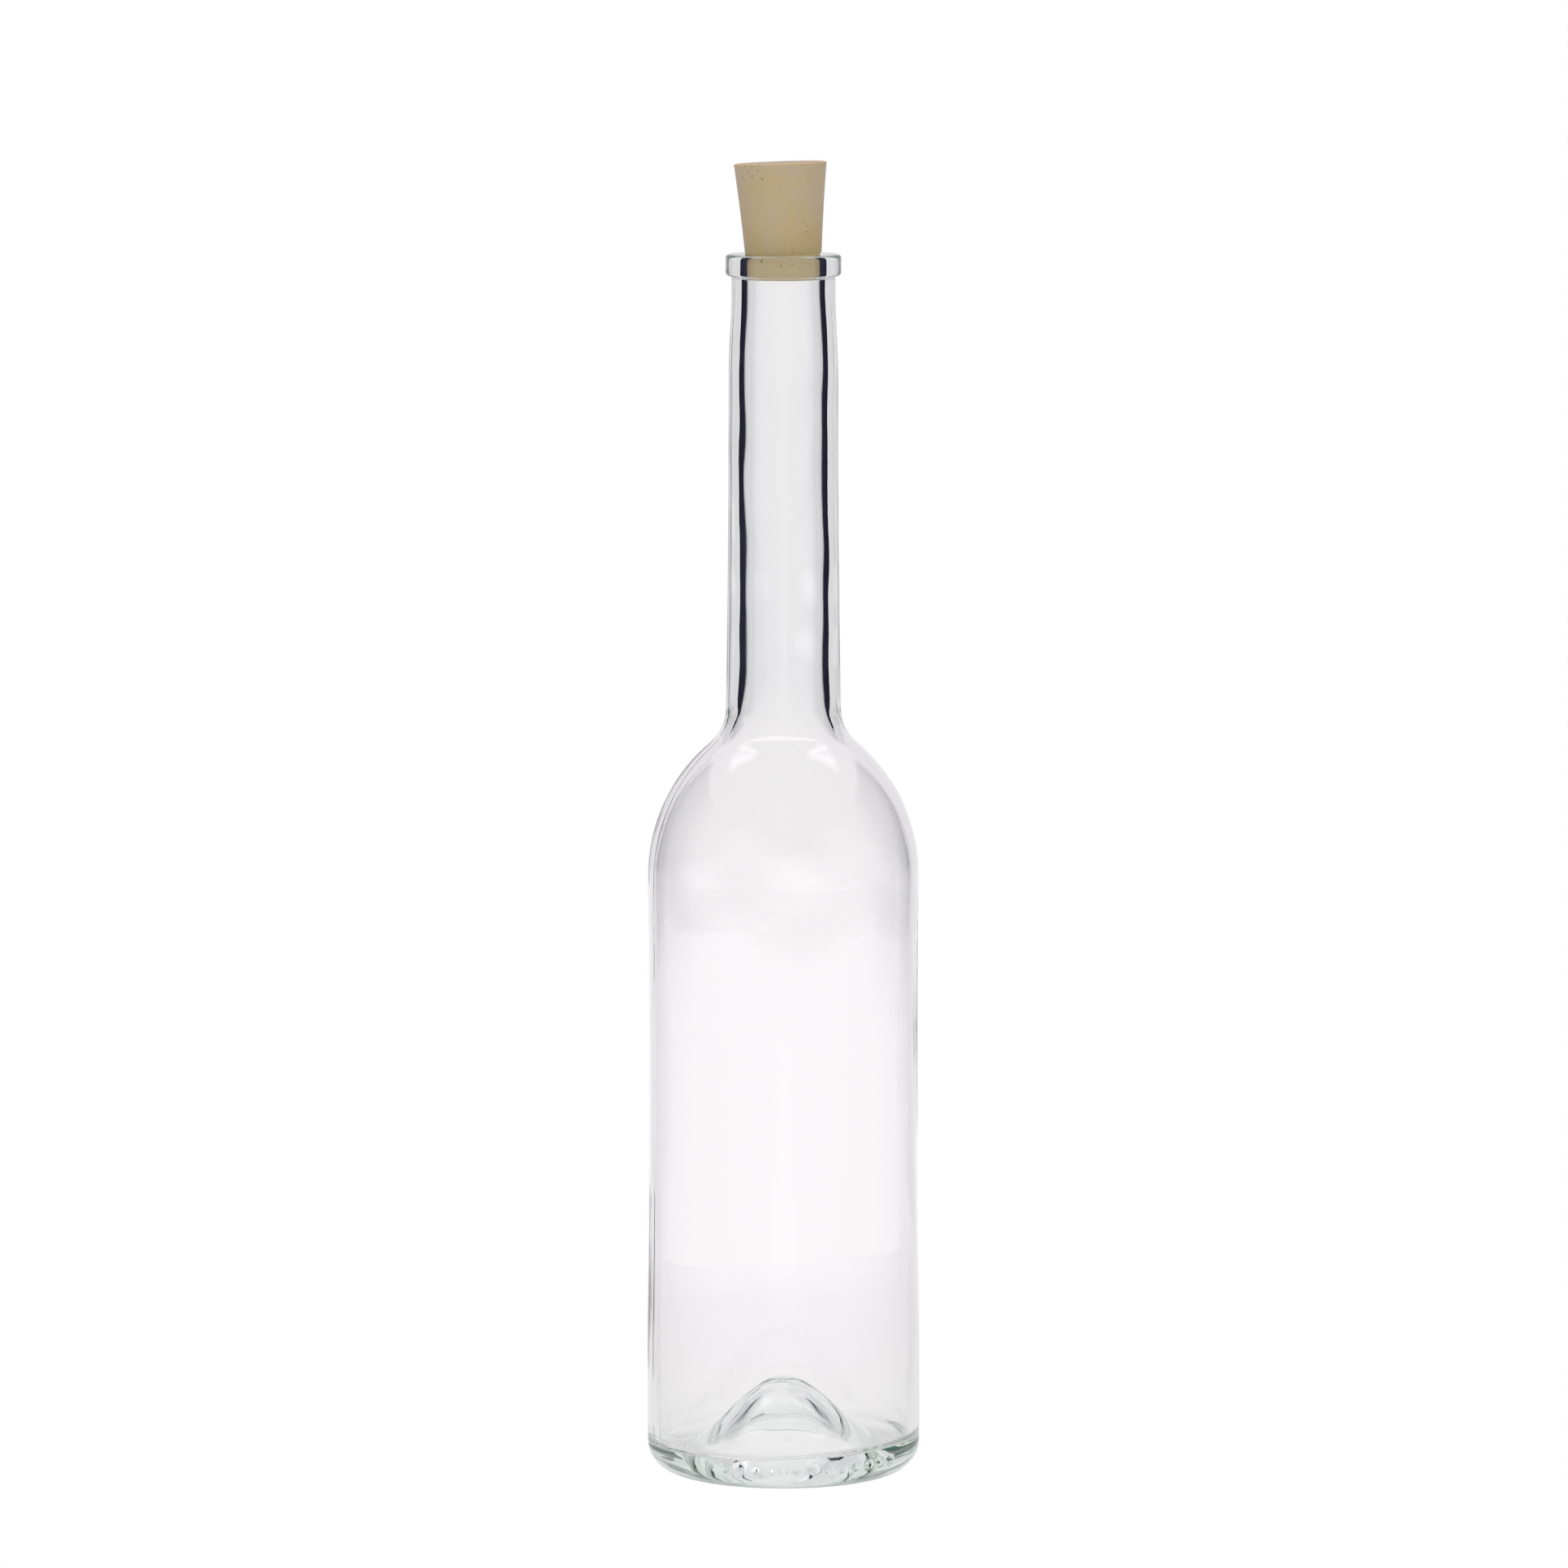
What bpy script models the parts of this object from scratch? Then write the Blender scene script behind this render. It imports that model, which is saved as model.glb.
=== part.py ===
"""A corked glass bottle: a long-necked bottle of clear glass and the tapered cork in its mouth.

Run it with blender --background --python part.py, or from Blender's text editor.
Lengths are in metres and +Z is up. The origin is the middle of the ring that the bottle stands on.
"""
import math

import bmesh
import bpy

MM = 0.001

# Straight side of the bottle
BODY_RADIUS = 33.75 * MM          # at the band under the shoulder
BODY_WALL = 2.9 * MM
SHOULDER_HEIGHT = 150.3 * MM      # top of the straight side
SHOULDER_BAND = 8.0 * MM          # height of the band under the shoulder
PANEL_RECESS = 0.1 * MM           # how far the label panel lies inside that band
PANEL_EASE = 4.0 * MM             # height over which the side sinks into the panel
HEEL_BAND_HEIGHT = 30.0 * MM      # top of the band above the heel
HEEL_EASE = 40.0 * MM             # height over which the panel swells out to the heel band
HEEL_SWELL = 0.35 * MM            # how far the heel band stands outside the shoulder band

# Shoulder dome and the hollow curve that joins it to the neck
DOME_RADIUS = 43.2 * MM
ROOT_CURVE_RADIUS = 12.0 * MM

# Neck, from its root up to the collar under the ring
NECK_LENGTH = 112.7 * MM          # from the neck's root to the rim
MOUTH_RADIUS = 9.4 * MM
COLLAR_WALL = 3.5 * MM
COLLAR_LENGTH = 3.3 * MM
SWELL_LENGTH = 22.2 * MM          # height over which the neck grows out from the collar
NECK_SWELL = 0.7 * MM             # how much it grows there
NECK_SPREAD = 0.7 * MM            # how much wider it is at its root
NECK_WALL = 3.75 * MM
ROOT_WALL = 4.6 * MM

# Ring round the mouth
RING_HEIGHT = 5.4 * MM
RING_STEP = 1.45 * MM             # how far it stands out from the collar
RING_EDGE_RADIUS = 0.9 * MM
LIP_RADIUS = 0.8 * MM             # rounding of the mouth's edge

# Base, pushed up in the middle into a punt
HEEL_RADIUS = 7.6 * MM
BEARING_WIDTH = 3.0 * MM          # width of the flat ring that the bottle stands on
PUNT_HEIGHT = 18.5 * MM
CROWN_THICKNESS = 5.1 * MM        # glass over the top of the punt
FLOOR_THICKNESS = 7.6 * MM        # glass under the channel round the punt
INNER_CORNER_RADIUS = 5.3 * MM

# Cork
CORK_LENGTH = 28.0 * MM
CORK_HEAD_RADIUS = 11.5 * MM
CORK_DEPTH = 5.8 * MM             # how deep its foot is under the rim
CORK_SIDE_HOLLOW = 0.16 * MM      # how far its side curves in between head and foot
CORK_EDGE_RADIUS = 0.4 * MM
CORK_CLEARANCE = 0.3 * MM         # between the cork and the mouth
CORK_LEAN_LEFT = math.radians(2.0)
CORK_LEAN_BACK = math.radians(1.0)

# Worked out from the sizes above
COLLAR_RADIUS = MOUTH_RADIUS + COLLAR_WALL
RING_RADIUS = COLLAR_RADIUS + RING_STEP
NECK_RADIUS = COLLAR_RADIUS + NECK_SWELL
ROOT_RADIUS = NECK_RADIUS + NECK_SPREAD
PANEL_RADIUS = BODY_RADIUS - PANEL_RECESS
HEEL_BAND_RADIUS = BODY_RADIUS + HEEL_SWELL
INNER_RADIUS = BODY_RADIUS - BODY_WALL
INNER_DOME_RADIUS = DOME_RADIUS - BODY_WALL
INNER_ROOT_CURVE_RADIUS = ROOT_CURVE_RADIUS + BODY_WALL
CROWN_HEIGHT = PUNT_HEIGHT + CROWN_THICKNESS
BEARING_RADIUS = HEEL_BAND_RADIUS - HEEL_RADIUS

# How finely round shapes are divided
BOTTLE_SIDES = 48
CORK_SIDES = 40
DOME_STEPS = 7
ROOT_CURVE_STEPS = 3
OUTER_NECK_STEPS = 5
INNER_NECK_STEPS = 4
SIDE_STEPS = 4
HEEL_STEPS = 5
PUNT_STEPS = 7
CORNER_STEPS = 4
RIM_EDGE_STEPS = 2
CORK_SIDE_STEPS = 6
CORK_EDGE_STEPS = 3
MERGE_DISTANCE = 0.01 * MM

COLLECTION_NAME = "corked_glass_bottle"
GLASS_COLOUR = (0.93, 0.97, 0.95, 1.0)
CORK_COLOUR = (0.46, 0.37, 0.25, 1.0)


def clear_scene():
    """Remove every object of the scene."""
    for thing in list(bpy.data.objects):
        bpy.data.objects.remove(thing, do_unlink=True)


def part_collection():
    """Return a new collection for the parts, linked to the scene."""
    collection = bpy.data.collections.new(COLLECTION_NAME)
    bpy.context.scene.collection.children.link(collection)
    return collection


def ease(share):
    """Return a smooth step from 0 to 1 for a share between 0 and 1."""
    return share * share * (3 - 2 * share)


def bell(share):
    """Return the height share of a bell curve, 1 at its middle and 0 at its edge."""
    return (1 + math.cos(math.pi * share)) / 2


def arc(centre, radius, start_degrees, end_degrees, steps):
    """Return the points of an arc round (radius, height), both ends included."""
    points = []
    for step in range(steps + 1):
        angle = math.radians(start_degrees + (end_degrees - start_degrees) * step / steps)
        points.append((centre[0] + radius * math.cos(angle), centre[1] + radius * math.sin(angle)))
    return points


def shoulder_curve(body_radius, dome_radius, root_radius, curve_radius):
    """Return the dome and the hollow curve above it, from the side up to the neck's root.

    The dome leaves the side upright at the shoulder's height. The hollow curve touches the dome
    and ends upright at the root's radius.
    """
    dome_centre = (body_radius - dome_radius, SHOULDER_HEIGHT)
    across = root_radius + curve_radius - dome_centre[0]
    up = math.sqrt((dome_radius + curve_radius) ** 2 - across ** 2)
    curve_centre = (root_radius + curve_radius, SHOULDER_HEIGHT + up)
    touch = math.degrees(math.atan2(up, across))
    dome = arc(dome_centre, dome_radius, 0, touch, DOME_STEPS)
    root_curve = arc(curve_centre, curve_radius, 180 + touch, 180, ROOT_CURVE_STEPS)
    return dome + root_curve[1:]


OUTER_SHOULDER = shoulder_curve(BODY_RADIUS, DOME_RADIUS, ROOT_RADIUS, ROOT_CURVE_RADIUS)
INNER_SHOULDER = shoulder_curve(INNER_RADIUS, INNER_DOME_RADIUS, ROOT_RADIUS - ROOT_WALL,
                                INNER_ROOT_CURVE_RADIUS)
RIM_HEIGHT = OUTER_SHOULDER[-1][1] + NECK_LENGTH
COLLAR_FOOT = RIM_HEIGHT - RING_HEIGHT - COLLAR_LENGTH
SWELL_FOOT = COLLAR_FOOT - SWELL_LENGTH


def neck_line(collar_radius, neck_radius, root, steps):
    """Return the neck's side from the collar's foot down to just above its root.

    It grows out smoothly under the collar, then spreads ever faster towards the root.
    """
    points = []
    for step in range(steps + 1):
        share = step / steps
        points.append((collar_radius + (neck_radius - collar_radius) * ease(share),
                       COLLAR_FOOT - SWELL_LENGTH * share))
    for step in range(1, steps):
        share = step / steps
        points.append((neck_radius + (root[0] - neck_radius) * share ** 2,
                       SWELL_FOOT + (root[1] - SWELL_FOOT) * share))
    return points


def punt_line(edge_radius, edge_height, crown_height):
    """Return the bell of the punt, from its crown on the axis out to its edge."""
    points = []
    for step in range(PUNT_STEPS + 1):
        share = step / PUNT_STEPS
        points.append((edge_radius * share,
                       edge_height + (crown_height - edge_height) * bell(share)))
    return points


def inside_line():
    """Return the inner face, from the punt's crown up to the mouth."""
    corner_centre = (INNER_RADIUS - INNER_CORNER_RADIUS, FLOOR_THICKNESS + INNER_CORNER_RADIUS)
    crown = punt_line(corner_centre[0], FLOOR_THICKNESS, CROWN_HEIGHT)
    corner = arc(corner_centre, INNER_CORNER_RADIUS, -90, 0, CORNER_STEPS)
    neck = neck_line(MOUTH_RADIUS, NECK_RADIUS - NECK_WALL, INNER_SHOULDER[-1],
                     INNER_NECK_STEPS)
    lip_centre = (MOUTH_RADIUS + LIP_RADIUS, RIM_HEIGHT - LIP_RADIUS)
    lip = arc(lip_centre, LIP_RADIUS, 180, 90, RIM_EDGE_STEPS)
    return crown + corner[1:] + INNER_SHOULDER + neck[::-1] + lip


def ring_line():
    """Return the outer face of the ring, from the rim's edge to the collar."""
    edge = RING_RADIUS - RING_EDGE_RADIUS
    ring_foot = RIM_HEIGHT - RING_HEIGHT
    top_centre = (edge, RIM_HEIGHT - RING_EDGE_RADIUS)
    bottom_centre = (edge, ring_foot + RING_EDGE_RADIUS)
    top = arc(top_centre, RING_EDGE_RADIUS, 90, 0, RIM_EDGE_STEPS)
    bottom = arc(bottom_centre, RING_EDGE_RADIUS, 0, -90, RIM_EDGE_STEPS)
    return top + bottom + [(COLLAR_RADIUS, ring_foot)]


def side_line():
    """Return the straight side, from the shoulder band down to the heel band."""
    band_foot = SHOULDER_HEIGHT - SHOULDER_BAND
    points = [(BODY_RADIUS, band_foot), (PANEL_RADIUS, band_foot - PANEL_EASE)]
    for step in range(SIDE_STEPS + 1):
        share = step / SIDE_STEPS
        points.append((PANEL_RADIUS + (HEEL_BAND_RADIUS - PANEL_RADIUS) * ease(share),
                       HEEL_BAND_HEIGHT + HEEL_EASE * (1 - share)))
    return points


def outside_line():
    """Return the outer face, from the rim down and in to the punt's crown."""
    neck = neck_line(COLLAR_RADIUS, NECK_RADIUS, OUTER_SHOULDER[-1], OUTER_NECK_STEPS)
    heel = arc((BEARING_RADIUS, HEEL_RADIUS), HEEL_RADIUS, 0, -90, HEEL_STEPS)
    punt = punt_line(BEARING_RADIUS - BEARING_WIDTH, 0, PUNT_HEIGHT)
    return ring_line() + neck + OUTER_SHOULDER[::-1] + side_line() + heel + punt[::-1]


def cork_line():
    """Return the cork's outline, from its head down to its foot, with its seat at height 0.

    The seat is where the mouth's rounded lip ends, and there the cork clears the glass all round.
    """
    under_seat = CORK_DEPTH - LIP_RADIUS
    seat_share = under_seat / CORK_LENGTH
    seat_radius = MOUTH_RADIUS - CORK_CLEARANCE
    hollow_at_seat = 4 * CORK_SIDE_HOLLOW * seat_share * (1 - seat_share)
    foot_radius = (seat_radius + hollow_at_seat - CORK_HEAD_RADIUS * seat_share) / (1 - seat_share)
    head = CORK_LENGTH - under_seat - CORK_EDGE_RADIUS
    foot = CORK_EDGE_RADIUS - under_seat
    side = []
    for step in range(1, CORK_SIDE_STEPS):
        share = 1 - step / CORK_SIDE_STEPS
        straight = foot_radius + (CORK_HEAD_RADIUS - foot_radius) * share
        hollow = 4 * CORK_SIDE_HOLLOW * share * (1 - share)
        side.append((straight - hollow, CORK_LENGTH * share - under_seat))
    head_centre = (CORK_HEAD_RADIUS - CORK_EDGE_RADIUS, head)
    foot_centre = (foot_radius - CORK_EDGE_RADIUS, foot)
    head_edge = arc(head_centre, CORK_EDGE_RADIUS, 90, 0, CORK_EDGE_STEPS)
    foot_edge = arc(foot_centre, CORK_EDGE_RADIUS, 0, -90, CORK_EDGE_STEPS)
    return [(0, CORK_LENGTH - under_seat)] + head_edge + side + foot_edge + [(0, -under_seat)]


def turned_piece(name, outline, sides, material, collection):
    """Return an object turned round its own Z axis from an outline of (radius, height) points."""
    mesh = bpy.data.meshes.new(name)
    profile = bmesh.new()
    verts = [profile.verts.new((radius, 0, height)) for radius, height in outline]
    for first, second in zip(verts, verts[1:]):
        profile.edges.new((first, second))
    profile.to_mesh(mesh)
    profile.free()
    mesh.materials.append(material)
    piece = bpy.data.objects.new(name, mesh)
    collection.objects.link(piece)
    screw = piece.modifiers.new("turn", "SCREW")
    screw.axis = "Z"
    screw.angle = math.tau
    screw.steps = sides
    screw.render_steps = sides
    screw.use_merge_vertices = True
    screw.merge_threshold = MERGE_DISTANCE
    screw.use_smooth_shade = True
    return piece


def surface_material(name, colour, roughness, transmission):
    """Return a Principled material; both surfaces here are non-metals."""
    material = bpy.data.materials.new(name)
    material.use_nodes = True
    shader = material.node_tree.nodes["Principled BSDF"]
    shader.inputs["Base Color"].default_value = colour
    shader.inputs["Metallic"].default_value = 0
    shader.inputs["Roughness"].default_value = roughness
    shader.inputs["Transmission Weight"].default_value = transmission
    return material


def glass_bottle(collection):
    """Make the bottle: one skin of glass that runs inside, over the rim and down the outside."""
    glass = surface_material("clear_flint_glass", GLASS_COLOUR, 0.02, 1)
    return turned_piece("glass_bottle", inside_line() + outside_line(), BOTTLE_SIDES, glass,
                        collection)


def cork_stopper(collection):
    """Make the cork, leaning a little left and back in the mouth, with its origin at its seat."""
    cork = surface_material("natural_cork", CORK_COLOUR, 0.8, 0)
    stopper = turned_piece("cork_stopper", cork_line(), CORK_SIDES, cork, collection)
    stopper.location = (0, 0, RIM_HEIGHT - LIP_RADIUS)
    stopper.rotation_euler = (-CORK_LEAN_BACK, -CORK_LEAN_LEFT, 0)
    return stopper


def main():
    """Build the bottle and its cork."""
    clear_scene()
    collection = part_collection()
    glass_bottle(collection)
    cork_stopper(collection)


main()
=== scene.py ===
"""The looks of a corked glass bottle: clear blown glass, a tapered natural cork and a bright studio.

Lengths are in metres and +Z is up. The origin is the middle of the ring that the bottle stands on,
+X is to the right in the photograph and +Y points away from its viewer.
"""
import logging
import math
from dataclasses import dataclass
from enum import Enum
from typing import Callable

import bpy
import numpy as np
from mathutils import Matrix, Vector


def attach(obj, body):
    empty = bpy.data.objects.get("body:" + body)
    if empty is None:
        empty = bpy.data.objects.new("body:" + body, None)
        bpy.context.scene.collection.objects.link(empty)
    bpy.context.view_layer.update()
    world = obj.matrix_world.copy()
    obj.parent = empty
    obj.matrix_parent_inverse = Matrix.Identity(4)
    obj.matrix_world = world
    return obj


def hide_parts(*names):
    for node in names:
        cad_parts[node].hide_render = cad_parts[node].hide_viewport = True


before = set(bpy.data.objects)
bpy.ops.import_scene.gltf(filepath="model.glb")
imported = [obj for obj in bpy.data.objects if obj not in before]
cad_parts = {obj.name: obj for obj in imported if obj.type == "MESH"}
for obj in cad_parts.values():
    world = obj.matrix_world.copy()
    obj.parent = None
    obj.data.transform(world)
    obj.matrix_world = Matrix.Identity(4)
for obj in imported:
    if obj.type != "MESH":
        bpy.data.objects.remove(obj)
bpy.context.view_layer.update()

LOG = logging.getLogger("corked_bottle")
MM = 0.001
PHOTO_SIDE = 1932  # pixels, width and height of the photograph
PLAIN_WHITE = "#FFFFFF"  # what the camera sees beside the bottle

# The picture's tones: light and how it is shown
TONE_CURVE = ((0.075, 0.03), (0.2, 0.185), (0.36, 0.36), (0.7, 0.7))

# How often light may bounce, far more than plain scenes need, for the thick base
GLASS_BOUNCES = 64
GLOSSY_BOUNCES = 32

Outline = np.ndarray  # rows of (radius, height)
Colour = tuple[float, float, float, float]
Tones = tuple[tuple[float, str], ...]  # shares from 0 to 1, in rising order, and sRGB hex colours


class Body(Enum):
    """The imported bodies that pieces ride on."""

    BOTTLE = "bottle"
    CORK = "cork"


class Node(Enum):
    """The CAD nodes that the dressed pieces stand for."""

    BOTTLE = "glass_bottle"
    CORK = "cork_stopper"


class Slot(Enum):
    """The record's material slots."""

    GLASS = "clear_glass"
    CORK = "natural_cork"


def linear(hex_colour: str) -> Colour:
    """Turn an sRGB hex colour into linear light.

    Args:
        hex_colour: six hex digits after a hash sign.

    Returns:
        Red, green and blue in linear light, and an alpha of 1.
    """
    parts = [int(hex_colour[i:i + 2], 16) / 255 for i in (1, 3, 5)]
    red, green, blue = [p / 12.92 if p <= 0.04045 else ((p + 0.055) / 1.055) ** 2.4 for p in parts]
    return red, green, blue, 1.0


def add_node(tree: bpy.types.NodeTree, kind: str, inputs: dict | None = None,
             **settings: object) -> bpy.types.Node:
    """Add a node with its settings, socket values and links.

    Args:
        tree: the tree that takes the node.
        kind: Blender's name of the node type.
        inputs: a value or an output socket for each named or numbered input.
        **settings: properties of the node itself.

    Returns:
        The new node.
    """
    node = tree.nodes.new(kind)
    for name, value in settings.items():
        setattr(node, name, value)
    for socket, value in (inputs or {}).items():
        if isinstance(value, bpy.types.NodeSocket):
            tree.links.new(value, node.inputs[socket])
        else:
            node.inputs[socket].default_value = value
    return node


def set_ramp(node: bpy.types.Node, tones: Tones) -> None:
    """Give a colour ramp its tones.

    Args:
        node: a Color Ramp node.
        tones: pairs of a share and an sRGB hex colour.
    """
    elements = node.color_ramp.elements
    while len(elements) > 1:
        elements.remove(elements[-1])
    elements[0].position, elements[0].color = tones[0][0], linear(tones[0][1])
    for share, colour in tones[1:]:
        elements.new(share).color = linear(colour)


def new_tree(name: str) -> tuple[bpy.types.Material, bpy.types.NodeTree]:
    """Make a material with an empty node tree.

    Args:
        name: the material's name.

    Returns:
        The material and its tree.
    """
    material = bpy.data.materials.new(name)
    material.use_nodes = True
    material.node_tree.nodes.clear()
    return material, material.node_tree


def ease(share: np.ndarray | float) -> np.ndarray | float:
    """Return a smooth step from 0 to 1 for shares that are cut to 0..1."""
    cut = np.clip(share, 0.0, 1.0)
    return cut * cut * (3 - 2 * cut)


def smooth_between(place: float, places: tuple[float, ...], values: tuple[float, ...]) -> float:
    """Return the value at a place, eased from each given place to the next.

    Args:
        place: where the value is wanted.
        places: the given places, in rising order.
        values: the value at each of them, which holds beyond the first and the last.

    Returns:
        The value there.
    """
    total = values[0]
    for start, end, low, high in zip(places, places[1:], values, values[1:]):
        total += (high - low) * float(ease((place - start) / (end - start)))
    return total


def arc(centre: tuple[float, float], radius: float, start: float, end: float,
        step: float) -> Outline:
    """Return an arc with its points about one step apart.

    Args:
        centre: (radius, height) of the arc's centre.
        radius: the arc's own radius.
        start: angle of its first point in degrees, 0 pointing outwards.
        end: angle of its last point in degrees.
        step: distance between points.

    Returns:
        The arc's outline, both ends included.
    """
    count = max(2, math.ceil(abs(math.radians(end - start)) * radius / step) + 1)
    angles = np.radians(np.linspace(start, end, count))
    return np.column_stack([centre[0] + radius * np.cos(angles),
                            centre[1] + radius * np.sin(angles)])


def graph(low: float, high: float, step: float, radius_at: Callable[[np.ndarray], np.ndarray]
          ) -> Outline:
    """Return an outline whose radius is a function of its height.

    Args:
        low: height of the first point.
        high: height of the last point, above or below the first.
        step: distance between points.
        radius_at: gives the radius at each height.

    Returns:
        The outline, both ends included.
    """
    heights = np.linspace(low, high, max(2, math.ceil(abs(high - low) / step) + 1))
    return np.column_stack([radius_at(heights), heights])


def upright(low: float, high: float, step: float, radius: float) -> Outline:
    """Return a straight upright outline from one height to another, at one radius."""
    return graph(low, high, step, lambda heights: np.full_like(heights, radius))


@dataclass(frozen=True)
class Waves:
    """A gentle unevenness of a blown surface, made of seeded waves round and along it."""

    height: float
    turns: tuple[int, int]  # fewest and most waves round the axis
    length: tuple[float, float]  # shortest and longest wave along it
    count: int
    seed: int

    def at(self, angle: np.ndarray, height: np.ndarray | float) -> np.ndarray:
        """Return the surface's lift at angles round the axis and at heights.

        Args:
            angle: angles in radians.
            height: heights in metres, or radii where the surface is nearly level.

        Returns:
            The lift in metres, as deep below zero as it is high above it.
        """
        draw = np.random.default_rng(self.seed)
        total = np.zeros(np.broadcast(angle, height).shape)
        for _ in range(self.count):
            turns = draw.integers(self.turns[0], self.turns[1] + 1)
            length = draw.uniform(*self.length) * draw.choice((-1, 1))
            phase = draw.uniform(0, math.tau)
            total += np.sin(turns * angle + math.tau * height / length + phase)
        return self.height * total / math.sqrt(self.count)


@dataclass
class TurnedSkin:
    """A closed skin turned round the Z axis, finer in some rows than in others.

    A row at level 0 has the plain sides, and each level above it has twice as many.
    """

    sides: int
    extra_angles: tuple[float, ...] = ()

    def angles(self, level: int) -> np.ndarray:
        """Return the angles of a row's points.

        Args:
            level: how often the plain sides are doubled.

        Returns:
            The angles in radians, in rising order.
        """
        plain = np.arange(self.sides) * math.tau / self.sides
        angles = np.unique(np.concatenate([plain, np.mod(self.extra_angles, math.tau)]))
        for _ in range(level):
            halfway = (angles + np.append(angles[1:], angles[0] + math.tau)) / 2
            angles = np.column_stack([angles, halfway]).ravel()
        return angles

    def mesh(self, name: str, outline: Outline, levels: np.ndarray,
             place: Callable[[int, np.ndarray], np.ndarray]) -> bpy.types.Mesh:
        """Build the skin, which starts and ends on the axis.

        Args:
            name: the mesh's name.
            outline: (radius, height) of each row.
            levels: each row's level; neighbours differ by one at most.
            place: gives the points of a row, (count, 3), from its number and its angles.

        Returns:
            The mesh, its faces pointing to the left of the outline's run.
        """
        rings = {level: self.angles(level) for level in set(levels.tolist())}
        points, faces, starts = [(0.0, 0.0, float(outline[0, 1]))], [], []
        for row in range(1, len(outline) - 1):
            starts.append(len(points))
            points.extend(map(tuple, place(row, rings[levels[row]])))
        tip = len(points)
        points.append((0.0, 0.0, float(outline[-1, 1])))
        first, last = len(rings[levels[1]]), len(rings[levels[-2]])
        faces += [(0, starts[0] + i, starts[0] + (i + 1) % first) for i in range(first)]
        faces += [(starts[-1] + i, tip, starts[-1] + (i + 1) % last) for i in range(last)]
        for row in range(1, len(outline) - 2):
            here, there = starts[row - 1], starts[row]
            faces += self._band(here, levels[row], there, levels[row + 1], rings)
        mesh = bpy.data.meshes.new(name)
        mesh.from_pydata(points, [], faces)
        mesh.shade_smooth()
        return mesh

    @staticmethod
    def _band(here: int, level: int, there: int, next_level: int, rings: dict) -> list[tuple]:
        """Return the faces between two neighbouring rows.

        Args:
            here: number of the first row's first point.
            level: the first row's level.
            there: number of the second row's first point.
            next_level: the second row's level.
            rings: the angles at each level.

        Returns:
            The faces, each a tuple of its points' numbers.
        """
        count, next_count = len(rings[level]), len(rings[next_level])
        if level == next_level:
            return [(here + i, there + i, there + (i + 1) % count, here + (i + 1) % count)
                    for i in range(count)]
        if next_level > level:
            return [(here + i, there + 2 * i, there + 2 * i + 1, there + (2 * i + 2) % next_count,
                     here + (i + 1) % count) for i in range(count)]
        return [(here + 2 * i, there + i, there + (i + 1) % next_count,
                 here + (2 * i + 2) % count, here + 2 * i + 1) for i in range(next_count)]


@dataclass(frozen=True)
class FlintGlass:
    """Clear soda-lime bottle glass, blown in an iron mould and fire-polished.

    To the eye it is water-clear where it is thin and pale green where light runs far through it,
    with a faintly rippled skin that makes lines seen through it waver.
    """

    name: str = "blown_flint_glass"
    colour: str = "#FFFFFF"
    ior: float = 1.52
    depth_colour: str = "#9FD8BE"
    depth_density: float = 5.5  # per metre of glass

    # Fine ripple of the skin
    ripple_length: float = 5.0 * MM
    ripple_height: float = 0.012 * MM
    ripple_detail: float = 2.0
    ripple_roughness: float = 0.45

    # Smears, patches that are less glossy: where in their noise they start and are full
    smear_length: float = 22.0 * MM
    smear_detail: float = 4.0
    smear_start: float = 0.5
    smear_full: float = 0.75
    smeared: float = 0.012  # roughness of a full smear

    # Wear where the bottle stands: the heights where it ends and is full
    scuff_height: float = 2.5 * MM
    scuff_full: float = 0.625 * MM
    scuffed: float = 0.5  # roughness where the wear is full

    def material(self) -> bpy.types.Material:
        """Make the glass, frosted by wear where the bottle stands.

        Returns:
            The glass as a node material.
        """
        material, tree = new_tree(self.name)
        place = add_node(tree, "ShaderNodeTexCoord")
        ripple = add_node(tree, "ShaderNodeTexNoise", {
            "Vector": place.outputs["Object"], "Scale": 1 / self.ripple_length,
            "Detail": self.ripple_detail, "Roughness": self.ripple_roughness})
        bump = add_node(tree, "ShaderNodeBump", {
            "Height": ripple.outputs["Fac"], "Strength": 1.0, "Distance": self.ripple_height})
        smear = add_node(tree, "ShaderNodeTexNoise", {
            "Vector": place.outputs["Object"], "Scale": 1 / self.smear_length,
            "Detail": self.smear_detail})
        smeared = add_node(tree, "ShaderNodeMapRange", {
            "Value": smear.outputs["Fac"], "From Min": self.smear_start,
            "From Max": self.smear_full, "To Min": 0.0, "To Max": self.smeared})
        axes = add_node(tree, "ShaderNodeSeparateXYZ", {"Vector": place.outputs["Object"]})
        worn = add_node(tree, "ShaderNodeMapRange", {
            "Value": axes.outputs["Z"], "From Min": self.scuff_height,
            "From Max": self.scuff_full, "To Max": self.scuffed})
        frost = add_node(tree, "ShaderNodeMath", {
            0: smeared.outputs["Result"], 1: worn.outputs["Result"]}, operation="MAXIMUM")
        shader = add_node(tree, "ShaderNodeBsdfPrincipled", {
            "Base Color": linear(self.colour), "Metallic": 0.0, "IOR": self.ior,
            "Transmission Weight": 1.0, "Roughness": frost.outputs["Value"],
            "Normal": bump.outputs["Normal"]})
        depth = add_node(tree, "ShaderNodeVolumeAbsorption", {
            "Color": linear(self.depth_colour), "Density": self.depth_density})
        add_node(tree, "ShaderNodeOutputMaterial", {
            "Surface": shader.outputs["BSDF"], "Volume": depth.outputs["Volume"]})
        return material


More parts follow.
